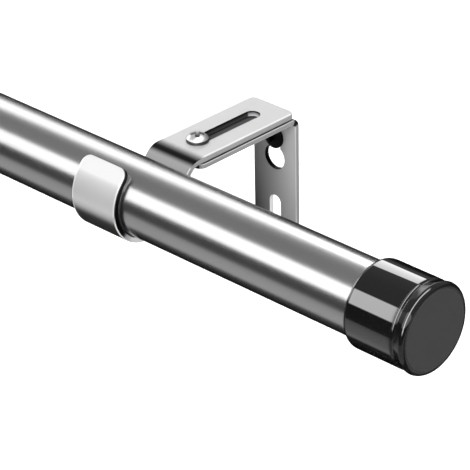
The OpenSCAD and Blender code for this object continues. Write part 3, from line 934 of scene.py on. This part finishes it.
def screw_mesh(name, outline, head_top, head_radius, ball, span, depth, turned_by, thread, thread_foot,
               place):
    """A screw along local Z: a turned blank, its cross recess cut in and given painted shade, its rim given
    painted shade, and its thread wound on.
    """
    stand = Matrix.Rotation(-math.pi / 2, 4, "Y")
    blank = turned(name + "_blank", outline, stand, black_screw, steps=64, closed=False)
    blank.modifiers.clear()
    cutter = bpy.data.objects.new("cutter", cross_cutter(span, depth))
    cross_turn = Matrix.Rotation(math.radians(turned_by), 4, "Z")
    cutter.matrix_world = Matrix.Translation((0, 0, head_top)) @ cross_turn
    scene.collection.objects.link(cutter)
    cut = blank.modifiers.new("recess", "BOOLEAN")
    cut.operation = "DIFFERENCE"
    cut.solver = "EXACT"
    cut.object = cutter
    bpy.context.view_layer.update()
    seen = blank.evaluated_get(bpy.context.evaluated_depsgraph_get())
    mesh = bpy.data.meshes.new_from_object(seen)
    bpy.data.objects.remove(blank)
    bpy.data.objects.remove(cutter)
    work = bmesh.new()
    work.from_mesh(mesh)
    painted_light_layer = work.faces.layers.float.new("painted_light")
    ball_middle = Vector((0, 0, head_top - ball))
    for face in work.faces:
        middle = face.calc_center_median()
        reach = math.hypot(middle.x, middle.y)
        from_ball = middle - ball_middle
        in_cross = reach < span / 2 and middle.z > head_top - depth * recess_floor
        steep = face.normal.dot(from_ball.normalized()) < recess_slope
        deep = ball - from_ball.length > depth * recess_sunk
        # Painted shade in the cross recess and on the head's rim
        if in_cross and (steep or deep):
            face[painted_light_layer] = recess_painted_shade
        elif reach > head_radius * rim_from:
            face[painted_light_layer] = head_rim_painted_shade
    thread.transform(Matrix.Translation((0, 0, thread_foot)))
    work.from_mesh(thread)
    work.to_mesh(mesh)
    work.free()
    mesh.transform(place)
    return mesh


dome_share = 0.7
head_edge = 0.12 * mm


def ball_radius(diameter, height):
    """Radius of the ball that a domed head's top is part of; the dome takes dome_share of the height."""
    rise = height * dome_share
    return (diameter ** 2 / 4 + rise ** 2) / (2 * rise)


def dome(diameter, height, station, steps=14):
    """Outline of a domed head whose flat side lies at the station: top centre first, flat side last."""
    ball = ball_radius(diameter, height)
    reach = math.asin(diameter / 2 / ball)
    points = []
    for k in range(steps + 1):
        a = reach * k / steps
        points.append((station + height - ball + ball * math.cos(a), ball * math.sin(a)))
    points += [(station + head_edge, diameter / 2), (station, diameter / 2 - head_edge)]
    return points


wound_thread = thread_tree()
wall_head = 8.7 * mm
wall_head_height = 2.2 * mm
neck_radius = 1.6 * mm
thread_core = 1.5 * mm
wall_reach = 10.0 * mm
point_length = 4.8 * mm
neck_taper = 0.3 * mm
wall_pitch = 1.4 * mm
wall_ridge = 0.54 * mm
wall_sink = 0.05 * mm
wall_runout = 0.5 * mm
wall_cross = wall_head * 0.5
wall_cross_depth = wall_head_height * 0.6
wall_cross_turn = 10
plate_face = plate_thickness * mm
for side, facing in (("right", 1), ("left", -1)):
    outline = dome(wall_head, wall_head_height, plate_face)
    outline += [(plate_face, neck_radius), (0.0, neck_radius), (-neck_taper, thread_core),
                (point_length - wall_reach, thread_core), (-wall_reach, 0.0)]
    body_thread = grown("thread", wound_thread, core_radius=thread_core - wall_sink, ridge=wall_ridge,
                        end_core_radius=thread_core - wall_sink, pitch=wall_pitch,
                        length=wall_reach - point_length - wall_runout, finish=black_screw)
    into_wall = Matrix.Translation((facing * bracket_x, 0, 0)) @ Matrix.Rotation(math.pi / 2, 4, "X")
    mesh = screw_mesh("wall_screw", outline, plate_face + wall_head_height, wall_head / 2,
                      ball_radius(wall_head, wall_head_height), wall_cross, wall_cross_depth,
                      wall_cross_turn, body_thread, point_length - wall_reach, into_wall)
    wall_screw = settled(f"wall_screw_{side}_pan_head", mesh, black_screw)
    stand_in(wall_screw, f"wall_screw_{side}", "brackets")

# Arms. Each is a blank punched from slightly thicker zinc plated steel strip, its slot and corners cut
# flat, then bent down at the front and rolled back into an open cradle that carries the rod.
arm_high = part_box("arm_right")[1] / mm
strap_thickness = 2.1
bend_inside = 5.0
rod_play = 0.2
cradle_inside = outer_radius / mm + rod_play
tilt = 40.0
lean = math.radians(tilt)
arm_rise = 5.4
lip_length = 5.5
tip_radius = 3.5
back_radius = 2.5
bend_outside = bend_inside + strap_thickness
bend_drop = arm_rise - bend_outside
bend_y = (cradle_inside + bend_outside + bend_drop * math.sin(lean)) / math.cos(lean)
rear_leg = bend_y * math.sin(lean) + bend_drop * math.cos(lean)
arm_end = arm_high.y - rod_y / mm
arm_flat = arm_end - bend_y
rear_land = 10.9
slot_run = 26.5
slot_width = 5.4
bend_mean = bend_inside + strap_thickness / 2
cradle_mean = cradle_inside + strap_thickness / 2
arm_moves = ((arm_flat, 0), (bend_mean, 90 - tilt), (rear_leg, 0), (cradle_mean, -180), (lip_length, 0))
arm_length = sum(abs(size * math.radians(degrees)) if degrees else size for size, degrees in arm_moves)
arm_outline = eased([(-corner, 0, back_radius), (corner, 0, back_radius),
                     (corner, arm_length, tip_radius), (-corner, arm_length, tip_radius)], steps=10)
arm_slot = slot_loop(slot_width, rear_land, rear_land + slot_run)
cradle_start = arm_flat + bend_mean * math.radians(90 - tilt) + rear_leg
# How much painted shade or painted highlight each part of an arm gets, as for the plates. The slot's walls
# get painted shade, darker upwards, with a painted glint low at the rear end. The other painted shades and
# highlights fade in and out by degrees, which round the bend count from its start at the flat. Round the
# rod 0 is straight in front and -90 straight below; the hook begins at -140 and its lip at 40.
slot_wall_top = 1.0
slot_wall_foot = 0.75
slot_rear_foot = -0.9
slot_end_reach = 1.0
side_in_front = 1.0
side_below = -0.9
outer_rim_in_front = 0.7
outer_rim_below = -0.8
inner_rim = 0.9
arm_rim = -0.85
crest_start = 0.74
crest_rest = 0.26
leg_behind_rod = 0.22
hook_underside = 0.93
underside_edge = -1.5
hook_hump = 0.05
lip_gleam = -0.36
hook_gleam = -0.12
top_gleam = -0.2
edge_gleam = -0.6


def arm_painted_light(zone, x, along, out):
    """The painted shade or painted highlight of a spot on an arm: its place on the blank, and out from the
    blank's middle layer.
    """
    bend_angle = math.degrees((along - arm_flat) / bend_mean)
    round_angle = math.degrees((along - cradle_start) / cradle_mean) - 180 + tilt
    if zone == "punched":
        foot = slot_wall_foot if along > rear_land - slot_end_reach else slot_rear_foot
        return foot + (slot_wall_top - foot) * ease(out, -0.8, 0.5)
    # Painted shade on the hook's sides in front, and a painted highlight on them below
    if zone == "side":
        below = ease(round_angle, -48, -60) * ease(round_angle, -150, -125)
        return side_in_front * ease(round_angle, -46, -38) + side_below * below
    # Painted shade on the outer rims in front and a painted highlight on them below; painted shade on the
    # inner rims round the rod
    if zone == "rim" and out < 0:
        below = ease(round_angle, -130, -110) * ease(round_angle, 0, -14)
        return outer_rim_in_front * ease(round_angle, -14, 0) + outer_rim_below * below
    if zone == "rim" and -60 < round_angle < 34:
        return inner_rim
    # Painted dark reflection across the crest of the bend
    crest = crest_start * ease(bend_angle, -13, 3) + crest_rest * ease(bend_angle, 0, 14)
    crest *= ease(bend_angle, 45.5, 22.5)
    if zone == "rim":
        return crest if crest > crest_seen else arm_rim
    # Painted highlight along the arm's long edges
    edge = ease(abs(x), edge_highlight_inside, edge_highlight_outside)
    # Painted shade under the hook
    under = hook_underside * ease(round_angle, -3, -19) * ease(round_angle, -100, -60)
    if under:
        return under + underside_edge * edge * under
    # Painted shade behind the rod; on the hook's front a faint painted shade, and painted highlights on it,
    # its lip and the arm's top before the bend
    behind_rod = leg_behind_rod * ease(bend_angle, 30, 45) * ease(round_angle, -110, -140)
    front = hook_hump * swell(round_angle, 27, 13) + lip_gleam * ease(round_angle, 34, 40)
    if -19 < round_angle:
        front += hook_gleam * ease(round_angle, 12, -2)
    top = top_gleam * ease(bend_angle, 5, -10)
    return max(crest, behind_rod) or front + top + edge_gleam * edge


for side, facing in (("right", 1), ("left", -1)):
    blank = punched_blank([arm_outline, arm_slot], strap_thickness, strap_edge)
    arm_piece = folded(f"arm_{side}_hook", blank,
                       (arm_high.y, rod_z / mm + arm_rise - strap_thickness / 2), 180,
                       arm_moves, facing * bracket_x, satin_zinc, arm_painted_light)
    stand_in(arm_piece, f"arm_{side}", "arm_r" if facing > 0 else "arm_l")

# Adjusting screws. Bright zinc plated steel machine screws with a domed cross recess head; each goes
# down through the arm's slot and the leg into the nut below, and clamps the two together.
bright_zinc = finish_material(
    "bright_zinc", (0.75, 0.75, 0.75), colour_play=0.03, roughness=0.42, roughness_play=0.02,
    line_depth=2e-7, cloud_scale=400.0, line_scale=900.0, line_stretch=1.0, metallic=1.0)
head_diameter = 7.9 * mm
head_height = 3.1 * mm
head_seat = screw_high.z * mm - head_height
shoulder_radius = 2.0 * mm
shoulder_taper = 0.6 * mm
screw_core = 1.7 * mm
screw_point = screw_low.z * mm
end_taper = 0.5 * mm
end_step = 0.35 * mm
screw_pitch = 0.7 * mm
screw_ridge = 0.35 * mm
screw_sink = 0.06 * mm
screw_runout = 1.6 * mm
head_cross = head_diameter * 0.74
head_cross_depth = head_height * 0.6
head_cross_turn = 45
for side, facing in (("right", 1), ("left", -1)):
    outline = dome(head_diameter, head_height, head_seat)
    outline += [(head_seat, shoulder_radius), (head_seat - shoulder_taper, screw_core),
                (screw_point + end_taper, screw_core), (screw_point, screw_core - end_step),
                (screw_point, 0.0)]
    shank_thread = grown("thread", wound_thread, core_radius=screw_core - screw_sink, ridge=screw_ridge,
                         end_core_radius=screw_core - screw_sink, pitch=screw_pitch,
                         length=head_seat - screw_point - screw_runout, finish=bright_zinc)
    down = Matrix.Translation((facing * bracket_x, screw_y * mm, 0))
    mesh = screw_mesh("adjusting_screw", outline, head_seat + head_height, head_diameter / 2,
                      ball_radius(head_diameter, head_height), head_cross, head_cross_depth,
                      head_cross_turn, shank_thread, screw_point + end_taper, down)
    screw_piece = settled(f"adjusting_screw_{side}_dome_head", mesh, bright_zinc)
    stand_in(screw_piece, f"adjusting_screw_{side}", "screw_r" if facing > 0 else "screw_l")

# Lock nuts. Plain zinc plated steel hexagon nuts under the leg, each turned up its adjusting screw's
# thread. They stay as modelled and are given the screws' finish.
for side in ("right", "left"):
    coat_node(f"lock_nut_{side}", bright_zinc)
